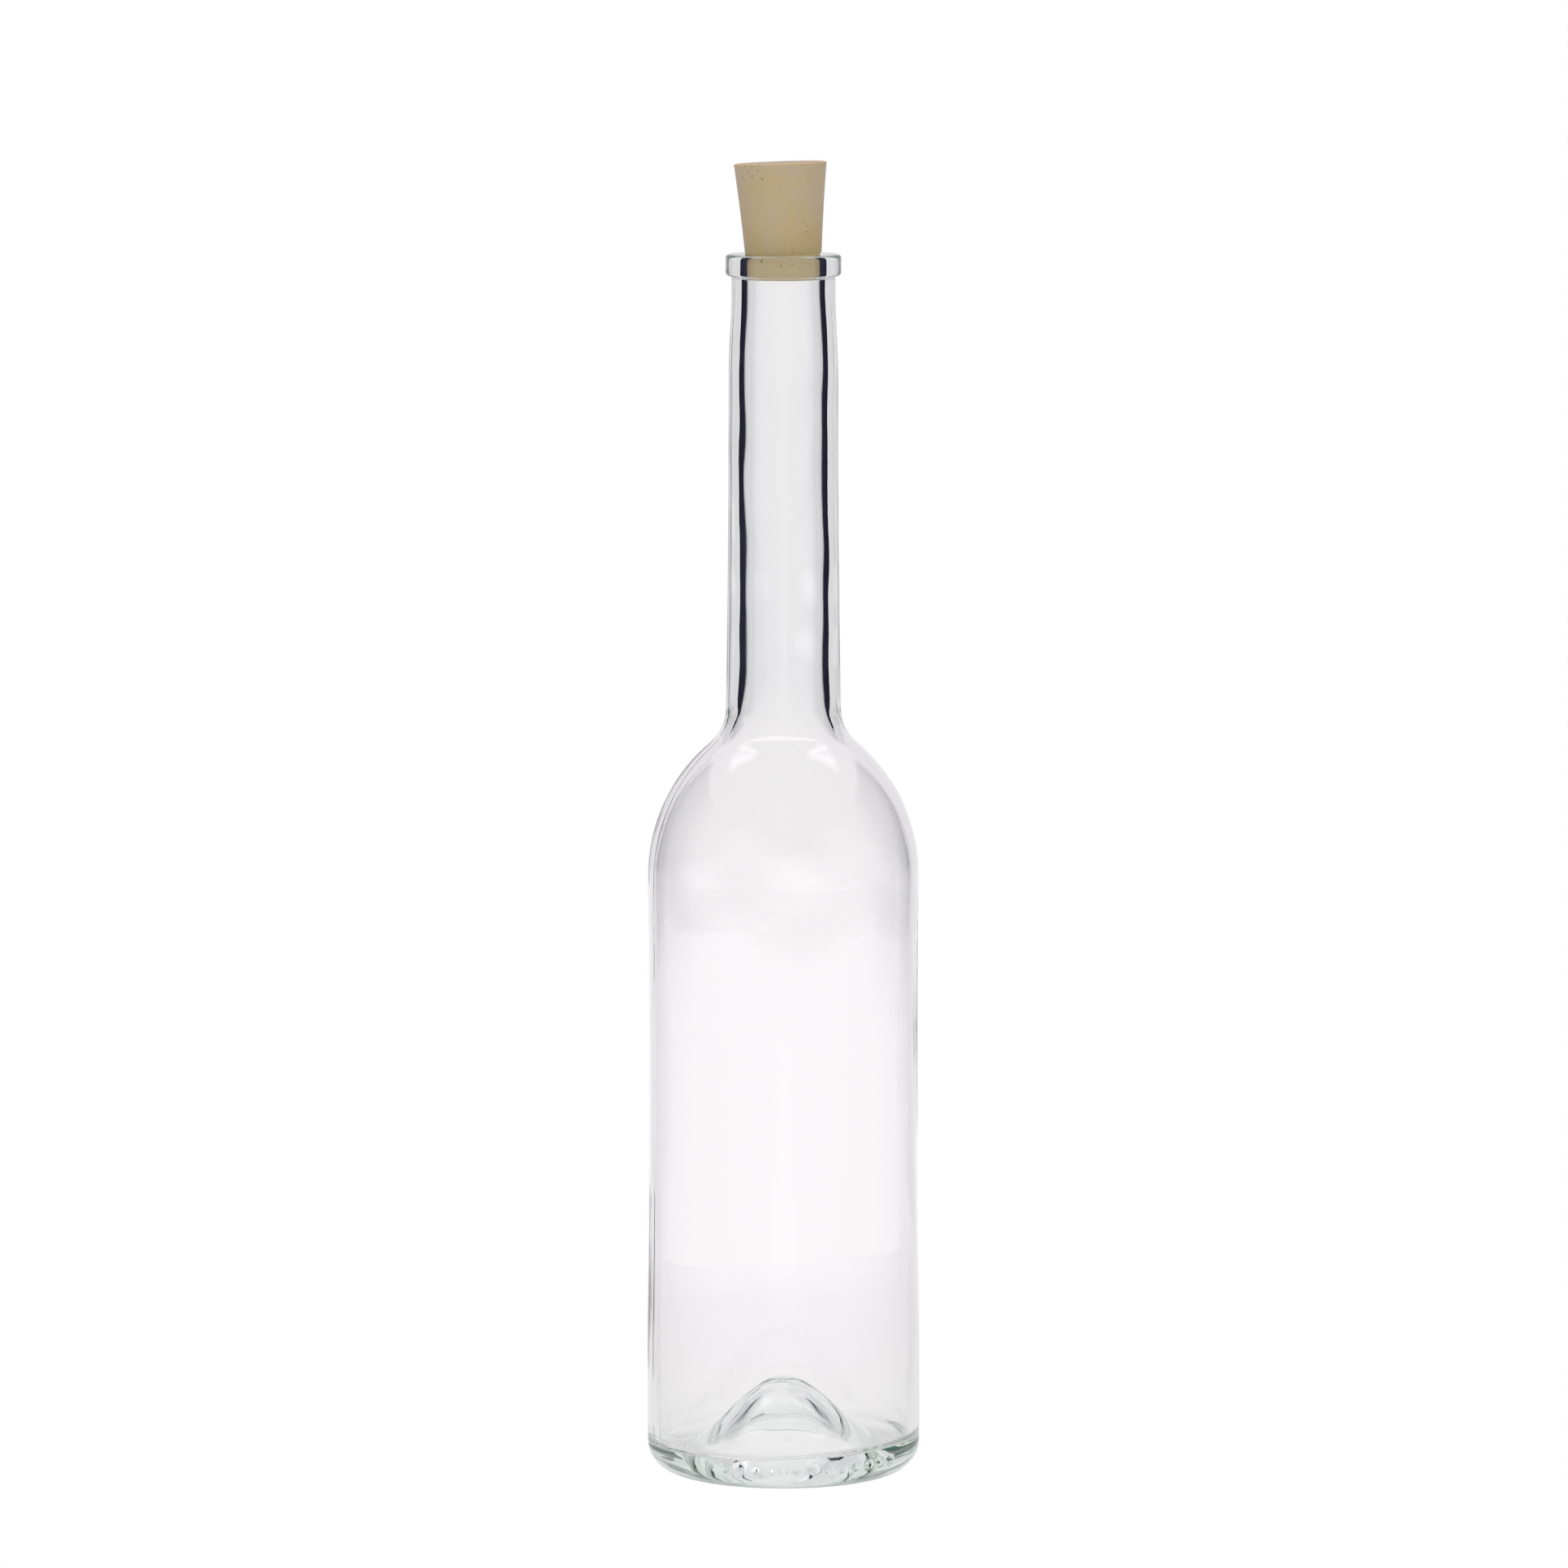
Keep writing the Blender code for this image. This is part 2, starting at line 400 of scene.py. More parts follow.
@dataclass(frozen=True)
class SandedCork:
    """Natural bark cork, ground to a taper and sanded.

    To the eye it is a matt pale tan with fine upright grain, a few dark pores and an amber rim.
    Heights are the cork's own, 0 at its seat.
    """

    name: str = "sanded_natural_cork"
    pale: str = "#CEBDA1"
    tan: str = "#D0BA8D"
    roughness: float = 0.85

    # Upright grain on wide, soft patches: the share of the grain in the shade
    grain_width: float = 0.35 * MM
    grain_length: float = 5.0 * MM
    grain_detail: float = 3.0
    grain_share: float = 0.3
    grain_height: float = 0.05 * MM
    patch_size: float = 9.0 * MM
    patch_detail: float = 5.0
    patch_roughness: float = 0.62
    greyed: float = 9.0  # growth of the pale share per metre of height
    shade_range: tuple[float, float] = (0.36, 0.72)  # all pale, all tan

    # The foot, painted pale as painted light where the glass of the mouth shades it: the heights
    # where that starts and is full
    foot: str = "#F0D9A8"
    lit_foot_start: float = 0.8 * MM
    lit_foot_full: float = -0.6 * MM

    # The head's rim, an amber band along the top edge: how far below the head and in from its edge
    rim: str = "#F2C98C"
    head_height: float = 23.0 * MM
    head_radius: float = 11.5 * MM
    rim_depth: tuple[float, float] = (0.35 * MM, 0.1 * MM)
    rim_width: tuple[float, float] = (1.4 * MM, 0.7 * MM)
    rim_tint: float = 0.8

    # Dark pores, gathered in a few places
    pore: str = "#8A7658"
    pore_size: float = 0.8 * MM
    pore_detail: float = 1.0
    pore_gather: float = 0.45
    gather_size: float = 11.25 * MM
    pore_range: tuple[float, float] = (0.94, 1.06)
    pore_depth: float = 0.8

    # Pale dust in the sanded grain
    dust: str = "#D8D3E4"
    dusting: float = 0.3
    dust_roughness: float = 0.5

    def material(self) -> bpy.types.Material:
        """Make the cork's finish.

        Returns:
            The cork as a node material.
        """
        material, tree = new_tree(self.name)
        place = add_node(tree, "ShaderNodeTexCoord").outputs["Object"]
        height = add_node(tree, "ShaderNodeSeparateXYZ", {"Vector": place}).outputs["Z"]
        stretched = add_node(tree, "ShaderNodeMapping", {
            "Vector": place, "Scale": (1.0, 1.0, self.grain_width / self.grain_length)})
        grain = add_node(tree, "ShaderNodeTexNoise", {
            "Vector": stretched.outputs["Vector"], "Scale": 1 / self.grain_width,
            "Detail": self.grain_detail})
        side = self.grained(tree, place, height, grain.outputs["Fac"])
        # Painted light: the foot is brightened where it sits shaded inside the mouth's glass
        lit_foot_share = add_node(tree, "ShaderNodeMapRange", {
            "Value": height, "From Min": self.lit_foot_start, "From Max": self.lit_foot_full})
        with_lit_foot = add_node(tree, "ShaderNodeMix", {
            "Factor": lit_foot_share.outputs["Result"], "A": side, "B": linear(self.foot)},
            data_type="RGBA")
        rimmed = add_node(tree, "ShaderNodeMix", {
            "Factor": self.rim_share(tree, place, height), "A": with_lit_foot.outputs["Result"],
            "B": linear(self.rim)}, data_type="RGBA")
        colour = add_node(tree, "ShaderNodeMix", {
            "Factor": self.pore_share(tree, place), "A": rimmed.outputs["Result"],
            "B": linear(self.pore)}, data_type="RGBA")
        bump = add_node(tree, "ShaderNodeBump", {
            "Height": grain.outputs["Fac"], "Strength": 1.0, "Distance": self.grain_height})
        shader = add_node(tree, "ShaderNodeBsdfPrincipled", {
            "Base Color": colour.outputs["Result"], "Roughness": self.roughness,
            "Sheen Weight": self.dusting, "Sheen Roughness": self.dust_roughness,
            "Sheen Tint": linear(self.dust), "Normal": bump.outputs["Normal"]})
        add_node(tree, "ShaderNodeOutputMaterial", {"Surface": shader.outputs["BSDF"]})
        return material

    def grained(self, tree: bpy.types.NodeTree, place: bpy.types.NodeSocket,
                height: bpy.types.NodeSocket, grain: bpy.types.NodeSocket) -> bpy.types.NodeSocket:
        """Return the side's colour, tan streaks on pale cork, paler towards the head.

        Args:
            tree: the cork's tree.
            place: the point's place on the cork.
            height: the point's height on the cork.
            grain: the grain's noise.

        Returns:
            The colour's socket.
        """
        patch = add_node(tree, "ShaderNodeTexNoise", {
            "Vector": place, "Scale": 1 / self.patch_size, "Detail": self.patch_detail,
            "Roughness": self.patch_roughness})
        mixed = add_node(tree, "ShaderNodeMath", {
            0: grain, 1: self.grain_share, 2: patch.outputs["Fac"]}, operation="MULTIPLY_ADD")
        lower = add_node(tree, "ShaderNodeMath", {
            0: height, 1: -self.greyed, 2: mixed.outputs["Value"]}, operation="MULTIPLY_ADD")
        shade = add_node(tree, "ShaderNodeMapRange", {
            "Value": lower.outputs["Value"], "From Min": self.shade_range[0],
            "From Max": self.shade_range[1]})
        return add_node(tree, "ShaderNodeMix", {
            "Factor": shade.outputs["Result"], "A": linear(self.pale), "B": linear(self.tan)},
            data_type="RGBA").outputs["Result"]

    def rim_share(self, tree: bpy.types.NodeTree, place: bpy.types.NodeSocket,
                  height: bpy.types.NodeSocket) -> bpy.types.NodeSocket:
        """Return how strongly the head's edge is tinted amber.

        Args:
            tree: the cork's tree.
            place: the point's place on the cork.
            height: the point's height on the cork.

        Returns:
            The share's socket.
        """
        high = add_node(tree, "ShaderNodeMapRange", {
            "Value": height, "From Min": self.head_height - self.rim_depth[0],
            "From Max": self.head_height - self.rim_depth[1], "To Max": self.rim_tint})
        level = add_node(tree, "ShaderNodeVectorMath", {0: place, 1: (1.0, 1.0, 0.0)},
                         operation="MULTIPLY")
        out = add_node(tree, "ShaderNodeVectorMath", {0: level.outputs["Vector"]},
                       operation="LENGTH")
        outer = add_node(tree, "ShaderNodeMapRange", {
            "Value": out.outputs["Value"], "From Min": self.head_radius - self.rim_width[0],
            "From Max": self.head_radius - self.rim_width[1]})
        return add_node(tree, "ShaderNodeMath", {
            0: high.outputs["Result"], 1: outer.outputs["Result"]},
            operation="MULTIPLY").outputs["Value"]

    def pore_share(self, tree: bpy.types.NodeTree, place: bpy.types.NodeSocket
                   ) -> bpy.types.NodeSocket:
        """Return how dark the pores are, 0 between them.

        Args:
            tree: the cork's tree.
            place: the point's place on the cork.

        Returns:
            The share's socket.
        """
        specks = add_node(tree, "ShaderNodeTexNoise", {
            "Vector": place, "Scale": 1 / self.pore_size, "Detail": self.pore_detail})
        cluster = add_node(tree, "ShaderNodeTexNoise", {
            "Vector": place, "Scale": 1 / self.gather_size, "Detail": 0.0})
        gathered = add_node(tree, "ShaderNodeMath", {
            0: cluster.outputs["Fac"], 1: self.pore_gather, 2: specks.outputs["Fac"]},
            operation="MULTIPLY_ADD")
        return add_node(tree, "ShaderNodeMapRange", {
            "Value": gathered.outputs["Value"], "From Min": self.pore_range[0],
            "From Max": self.pore_range[1], "To Max": self.pore_depth}).outputs["Result"]


@dataclass
class GlassBottle:
    """The blown bottle: one skin that runs inside, over the rim and down the outside."""

    finish: FlintGlass = FlintGlass()

    # Straight side: full bands under the shoulder and at the heel, a sunk panel between them
    body_radius: float = 33.75 * MM
    body_wall: float = 2.4 * MM
    shoulder_height: float = 150.3 * MM
    shoulder_band: float = 8.0 * MM
    panel_recess: float = 0.1 * MM
    panel_ease: float = 4.0 * MM
    heel_band_height: float = 30.0 * MM
    heel_ease: float = 40.0 * MM
    heel_swell: float = 0.35 * MM
    heel_top: float = 12.0 * MM  # where the side ends and the underside's rows begin

    # Shoulder and neck
    dome_radius: float = 43.2 * MM
    dome_wall: float = 2.4 * MM
    root_curve_radius: float = 12.0 * MM
    inner_root_curve: float = 18.0 * MM
    neck_length: float = 112.7 * MM
    mouth_radius: float = 9.05 * MM
    collar_radius: float = 12.9 * MM
    collar_length: float = 3.3 * MM
    swell_length: float = 22.2 * MM
    neck_swell: float = 0.7 * MM
    neck_spread: float = 0.7 * MM
    neck_wall: float = 3.75 * MM
    root_wall: float = 3.8 * MM

    # Ring round the mouth
    ring_height: float = 5.4 * MM
    ring_step: float = 1.45 * MM
    ring_edge: float = 1.0 * MM
    ring_fillet: float = 0.5 * MM
    lip_radius: float = 0.8 * MM

    # Base
    heel_curve: float = 7.6 * MM
    bearing_width: float = 2.0 * MM
    punt_height: float = 19.5 * MM
    crown_thickness: float = 4.1 * MM
    floor_thickness: float = 7.9 * MM
    bell_edge: float = 26.0 * MM
    inner_corner: float = 2.0 * MM

    # How finely the skin is divided: points round it, and distances between its rows
    sides: int = 152
    knurl_level: int = 2  # doublings of the sides at the knurled ring
    knurl_level_radius: float = 21.0 * MM  # the underside is that fine from here outwards
    side_step: float = 5.0 * MM
    neck_step: float = 2.0 * MM
    curve_step: float = 1.6 * MM
    mouth_step: float = 1.2 * MM
    punt_step: float = 1.1 * MM
    band_step: float = 0.9 * MM
    collar_step: float = 0.8 * MM
    fine_step: float = 0.35 * MM
    edge_step: float = 0.22 * MM
    lip_step: float = 0.2 * MM
    floor_rows: int = 6
    bearing_rows: int = 9

    # Traces of the mould: two fine seams, and the knurled ring that the bottle stands on
    seam_bearing: float = math.radians(-163.0)
    seam_height: float = 0.03 * MM
    seam_width: float = 0.3 * MM
    seam_points: tuple[float, ...] = (-0.018, -0.010, -0.005, 0.0, 0.005, 0.010, 0.018)  # radians
    knurl_count: int = 88
    knurl_depth: float = 0.3 * MM
    knurl_inner_ease: float = 0.5 * MM
    knurl_reach: float = 2.2 * MM  # past the flat ring, up the heel
    knurl_outer_ease: float = 0.8 * MM
    knurl_top: float = 4.0 * MM

    # The bore's wall, thicker or thinner than its outline: depth below the rim, left, right
    bore_wander: tuple[tuple[float, float, float], ...] = (
        (8.0 * MM, 0.0, 0.0), (20.0 * MM, -0.1 * MM, -0.2 * MM), (36.0 * MM, 0.25 * MM, 0.2 * MM),
        (56.0 * MM, 0.1 * MM, 0.25 * MM), (74.0 * MM, 0.5 * MM, 0.05 * MM),
        (90.0 * MM, 0.75 * MM, 0.35 * MM), (104.0 * MM, 0.85 * MM, 0.6 * MM),
        (117.0 * MM, 0.0, 0.0))
    wander_reach: float = 0.6  # full from this cosine of the angle sideways, none in front

    # What blowing leaves on the inner face, and the lengths over which each grows from nothing
    inner_drift: Waves = Waves(0.08 * MM, (1, 2), (70 * MM, 150 * MM), 5, 16)
    drift_ease: float = 20.0 * MM  # below the neck's root
    inner_ripple: Waves = Waves(0.02 * MM, (3, 8), (14 * MM, 30 * MM), 9, 5)
    mouth_ease: float = 25.0 * MM
    crown_ease: float = 12.0 * MM
    floor_ripple: Waves = Waves(0.06 * MM, (2, 9), (6 * MM, 16 * MM), 9, 21)
    floor_ripple_top: float = 26.0 * MM
    floor_ripple_ease: float = 8.0 * MM
    floor_tilt: float = math.tan(math.radians(2.0))
    tilt_top: float = 45.0 * MM
    tilt_ease: float = 33.0 * MM

    # What the mould leaves on the outer face and the underside, in the same way
    outer_ripple: Waves = Waves(0.006 * MM, (3, 7), (20 * MM, 45 * MM), 7, 3)
    ring_clear: float = 2.0 * MM  # round the collar's foot
    heel_clear: float = 6.0 * MM
    heel_ripple: Waves = Waves(0.02 * MM, (0, 10), (1.5 * MM, 5 * MM), 9, 8)
    heel_ripple_ease: float = 2.0 * MM
    heel_sink: float = 0.03 * MM  # keeps the ripple's crests down
    punt_edge_ease: float = 3.0 * MM
    punt_crown_ease: float = 5.0 * MM

    # Moulded marks on the heel: a row of plain dots
    mark_first: float = math.radians(-116.0)
    mark_step: float = math.radians(6.5)
    mark_count: int = 13
    mark_height: float = 5.9 * MM
    mark_half: float = 1.1 * MM
    mark_rise: float = 0.3 * MM
    mark_end: float = 1.3  # halves from a dot's middle to where its slope ends
    mark_slope: float = 0.6  # halves from there up to its flat top

    @property
    def inner_radius(self) -> float:
        """Radius of the straight inner side."""
        return self.body_radius - self.body_wall

    @property
    def heel_radius(self) -> float:
        """Radius of the outer side at the heel."""
        return self.body_radius + self.heel_swell

    @property
    def bearing_radius(self) -> float:
        """Outer radius of the flat ring that the bottle stands on."""
        return self.heel_radius - self.heel_curve

    @property
    def root_radius(self) -> float:
        """Outer radius where the neck begins."""
        return self.collar_radius + self.neck_swell + self.neck_spread

    @property
    def outer_shoulder(self) -> Outline:
        """The shoulder's outer face."""
        return self.shoulder(self.body_radius, self.dome_radius, self.root_radius,
                             self.root_curve_radius)

    @property
    def inner_shoulder(self) -> Outline:
        """The shoulder's inner face."""
        return self.shoulder(self.inner_radius, self.dome_radius - self.dome_wall,
                             self.root_radius - self.root_wall, self.inner_root_curve)

    @property
    def rim_height(self) -> float:
        """Height of the rim, which the neck's length sets."""
        return float(self.outer_shoulder[-1, 1]) + self.neck_length

    @property
    def collar_foot(self) -> float:
        """Height of the collar's lower end."""
        return self.rim_height - self.ring_height - self.collar_length

    def shoulder(self, body: float, dome: float, root: float, curve: float) -> Outline:
        """Return the dome and the hollow curve above it, from the side up to the neck's root.

        Args:
            body: radius where the dome leaves the side.
            dome: the dome's own radius.
            root: radius where the neck begins.
            curve: radius of the hollow curve.

        Returns:
            The outline, upright at both ends.
        """
        across = root + curve - (body - dome)
        up = math.sqrt((dome + curve) ** 2 - across ** 2)
        touch = math.degrees(math.atan2(up, across))
        lower = arc((body - dome, self.shoulder_height), dome, 0, touch, self.curve_step)
        upper = arc((root + curve, self.shoulder_height + up), curve, 180 + touch, 180,
                    self.curve_step / 2)
        return np.vstack([lower, upper[1:]])

    def neck_radius_at(self, collar: float, neck: float, root: float, root_height: float
                       ) -> Callable[[np.ndarray], np.ndarray]:
        """Return the neck's radius as a function of height, outside or inside.

        Args:
            collar: radius under the collar.
            neck: radius where the neck has grown out.
            root: radius at the root.
            root_height: height of the root.

        Returns:
            The function of height.
        """
        def radius(height: np.ndarray) -> np.ndarray:
            """Return the neck's radius at heights."""
            grown = ease((self.collar_foot - height) / self.swell_length)
            swell_foot = self.collar_foot - self.swell_length
            down = np.clip((swell_foot - height) / (swell_foot - root_height), 0, 1)
            return collar + (neck - collar) * grown + (root - neck) * down ** 2
        return radius

    def punt(self, edge: float, foot: float, crown: float) -> Outline:
        """Return the bell of the punt, from the axis out to its edge.

        Args:
            edge: radius of the bell's edge.
            foot: height of the edge.
            crown: height of the middle.

        Returns:
            The bell's outline.
        """
        radii = np.linspace(0, edge, math.ceil(edge / self.punt_step) + 1)
        heights = foot + (crown - foot) * (1 + np.cos(math.pi * radii / edge)) / 2
        return np.column_stack([radii, heights])

    def inside(self) -> Outline:
        """Draw the inner face.

        Returns:
            Its outline, from the punt's crown up to the mouth.
        """
        corner = (self.inner_radius - self.inner_corner, self.floor_thickness + self.inner_corner)
        crown = self.punt(self.bell_edge, self.floor_thickness,
                          self.punt_height + self.crown_thickness)
        floor = np.column_stack([np.linspace(self.bell_edge, corner[0], self.floor_rows),
                                 np.full(self.floor_rows, self.floor_thickness)])
        bend = arc(corner, self.inner_corner, -90, 0, self.fine_step)
        side = upright(corner[1], self.shoulder_height, self.side_step, self.inner_radius)
        shoulder = self.inner_shoulder
        radius_at = self.neck_radius_at(
            self.mouth_radius, self.collar_radius + self.neck_swell - self.neck_wall,
            shoulder[-1, 0], shoulder[-1, 1])
        neck = graph(shoulder[-1, 1], self.collar_foot, self.neck_step, radius_at)
        lip = arc((self.mouth_radius + self.lip_radius, self.rim_height - self.lip_radius),
                  self.lip_radius, 180, 90, self.lip_step)
        mouth = upright(self.collar_foot, lip[0, 1], self.mouth_step, self.mouth_radius)
        return np.vstack([crown, floor[1:], bend[1:], side[1:], shoulder[1:], neck[1:], mouth[1:],
                          lip[1:]])

    def outside(self) -> Outline:
        """Draw the outer face.

        Returns:
            Its outline, from the rim down to the heel.
        """
        ring_radius = self.collar_radius + self.ring_step
        ring_foot = self.rim_height - self.ring_height
        edge = ring_radius - self.ring_edge
        top = arc((edge, self.rim_height - self.ring_edge), self.ring_edge, 90, 0, self.edge_step)
        bottom = arc((edge, ring_foot + self.ring_edge), self.ring_edge, 0, -90, self.edge_step)
        band = upright(top[-1, 1], bottom[0, 1], self.band_step, ring_radius)
        fillet = arc((self.collar_radius + self.ring_fillet, ring_foot - self.ring_fillet),
                     self.ring_fillet, 90, 180, self.lip_step)
        collar = upright(fillet[-1, 1], self.collar_foot, self.collar_step, self.collar_radius)
        shoulder = self.outer_shoulder
        radius_at = self.neck_radius_at(self.collar_radius, self.collar_radius + self.neck_swell,
                                        shoulder[-1, 0], shoulder[-1, 1])
        neck = graph(self.collar_foot, shoulder[-1, 1], self.neck_step, radius_at)
        panel = self.body_radius - self.panel_recess
        band_foot = self.shoulder_height - self.shoulder_band

        def side_radius(height: np.ndarray) -> np.ndarray:
            """Return the side's radius at heights."""
            sunk = ease((band_foot - height) / self.panel_ease)
            swell = ease((self.heel_band_height + self.heel_ease - height) / self.heel_ease)
            return self.body_radius + (panel - self.body_radius) * sunk + (
                self.heel_radius - panel) * swell

        side = graph(self.shoulder_height, self.heel_top, self.side_step, side_radius)
        return np.vstack([top, band[1:], bottom[1:], fillet, collar[1:], neck[1:],
                          shoulder[::-1][1:], side[1:]])

    def underside(self) -> Outline:
        """Draw the underside.

        Returns:
            The outline of the heel, the bearing ring and the punt's underside, in to the axis.
        """
        bearing, ring_inside = self.bearing_radius, self.bearing_radius - self.bearing_width
        approach = upright(self.heel_top, self.heel_curve, self.fine_step, self.heel_radius)
        heel = arc((bearing, self.heel_curve), self.heel_curve, 0, -90, self.fine_step)
        flat = np.column_stack([np.linspace(bearing, ring_inside, self.bearing_rows),
                                np.zeros(self.bearing_rows)])
        punt = self.punt(ring_inside, 0.0, self.punt_height)[::-1]
        return np.vstack([approach[1:], heel[1:], flat[1:], punt[1:]])

    def build(self) -> bpy.types.Object:
        """Build the bottle's skin.

        Returns:
            The bottle as an object, standing at the origin.
        """
        parts = [self.inside(), self.outside(), self.underside()]
        outline = np.vstack(parts)
        inner_rows, outer_rows = len(parts[0]), len(parts[0]) + len(parts[1])
        run = np.gradient(outline, axis=0)
        run /= np.linalg.norm(run, axis=1)[:, None]
        normals = np.column_stack([-run[:, 1], run[:, 0]])
        levels = np.zeros(len(outline), int)
        levels[outer_rows:][outline[outer_rows:, 0] > self.knurl_level_radius] = self.knurl_level
        for _ in range(self.knurl_level):
            levels[1:-1] = np.maximum(levels[1:-1], np.maximum(levels[:-2], levels[2:]) - 1)
        seam = self.seam_bearing + np.array(self.seam_points)
        skin = TurnedSkin(self.sides, tuple(np.concatenate([seam, seam + math.pi]).tolist()))

        def place(row: int, angle: np.ndarray) -> np.ndarray:
            """Return the points of a row at angles round the axis."""
            radius, height = outline[row]
            tilt = 0.0
            if row < inner_rows:
                lift = self.inner_lift(angle, radius, height)
                tilt = self.floor_tilt * float(ease((self.tilt_top - height) / self.tilt_ease))
            elif row < outer_rows:
                lift = self.outer_lift(angle, radius, height)
            else:
                lift = self.base_lift(angle, radius, height)
            out = radius + lift * normals[row, 0]
            return np.column_stack([out * np.cos(angle), out * np.sin(angle),
                                    height + lift * normals[row, 1] + tilt * out * np.cos(angle)])

        mesh = skin.mesh("bottle_glass", outline, levels, place)
        bottle = bpy.data.objects.new("bottle_glass", mesh)
        bpy.context.scene.collection.objects.link(bottle)
        return bottle

    def inner_lift(self, angle: np.ndarray, radius: float, height: float) -> np.ndarray:
        """Return how far the inner face stands off its outline, into the hollow.

        Args:
            angle: angles in radians.
            radius: the outline's radius.
            height: the outline's height.

        Returns:
            The lift in metres.
        """
        depths, lefts, rights = zip(*self.bore_wander)
        depth = self.rim_height - height
        right = (1 + np.cos(angle)) / 2
        wander = smooth_between(depth, depths, lefts) * (1 - right) + smooth_between(
            depth, depths, rights) * right
        sideways = ease(np.abs(np.cos(angle)) / self.wander_reach)
        drift = self.inner_drift.at(angle, height) * ease(
            (depth - self.neck_length) / self.drift_ease)
        floor = self.floor_ripple.at(angle, radius) * ease(
            (self.floor_ripple_top - height) / self.floor_ripple_ease)
        ripple = self.inner_ripple.at(angle, height)
        return wander * sideways + (drift + floor + ripple) * ease(
            depth / self.mouth_ease) * ease(radius / self.crown_ease)

    def outer_lift(self, angle: np.ndarray, radius: float, height: float) -> np.ndarray:
        """Return how far the outer face stands off its outline: ripples and the mould's seams.

        Args:
            angle: angles in radians.
            radius: the outline's radius.
            height: the outline's height.

        Returns:
            The lift in metres.
        """
        below_ring = ease((self.collar_foot + self.ring_clear - height) / self.ring_clear)
        away = np.abs(np.sin(angle - self.seam_bearing)) * radius / self.seam_width
        seam = self.seam_height * np.exp(-away ** 2)
        return (self.outer_ripple.at(angle, height) + seam) * below_ring

    def base_lift(self, angle: np.ndarray, radius: float, height: float) -> np.ndarray:
        """Return how far the underside stands off its outline: seams, marks and the knurled ring.

        Args:
            angle: angles in radians.
            radius: the outline's radius.
            height: the outline's height.

        Returns:
            The lift in metres.
        """
        heel = self.outer_lift(angle, radius, height) * ease(height / self.heel_clear)
        ring_inside = self.bearing_radius - self.bearing_width
        knurled = ease((radius - ring_inside) / self.knurl_inner_ease) * ease(
            (self.bearing_radius + self.knurl_reach - radius) / self.knurl_outer_ease) * (
            height < self.knurl_top)
        groove = (1 + np.cos(self.knurl_count * angle)) / 2 * knurled
        if radius > self.bearing_radius:
            rough = self.heel_ripple.at(angle, height) * ease(
                height / self.heel_ripple_ease) - self.heel_sink + self.marks(angle, height)
        else:
            rough = self.floor_ripple.at(angle, radius) * ease(
                (ring_inside - radius) / self.punt_edge_ease) * ease(radius / self.punt_crown_ease)
        return heel + rough - self.knurl_depth * groove

    def marks(self, angle: np.ndarray, height: float) -> np.ndarray:
        """Return how far the heel's dots stand up.

        Args:
            angle: angles in radians.
            height: the outline's height.

        Returns:
            The rise in metres.
        """
        front = np.mod(angle - self.mark_first + self.mark_step / 2, math.tau)
        across = (np.mod(front, self.mark_step) - self.mark_step / 2) * self.body_radius
        reach = np.hypot(across, height - self.mark_height) / self.mark_half
        return self.mark_rise * ease((self.mark_end - reach) / self.mark_slope) * (
            front < self.mark_count * self.mark_step)

    def dress(self, bottle: bpy.types.Object) -> None:
        """Give the bottle its glass and seat it on its body.

        Args:
            bottle: the built bottle.
        """
        bottle.data.materials.append(self.finish.material())
        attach(bottle, Body.BOTTLE.value)
        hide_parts(Node.BOTTLE.value)


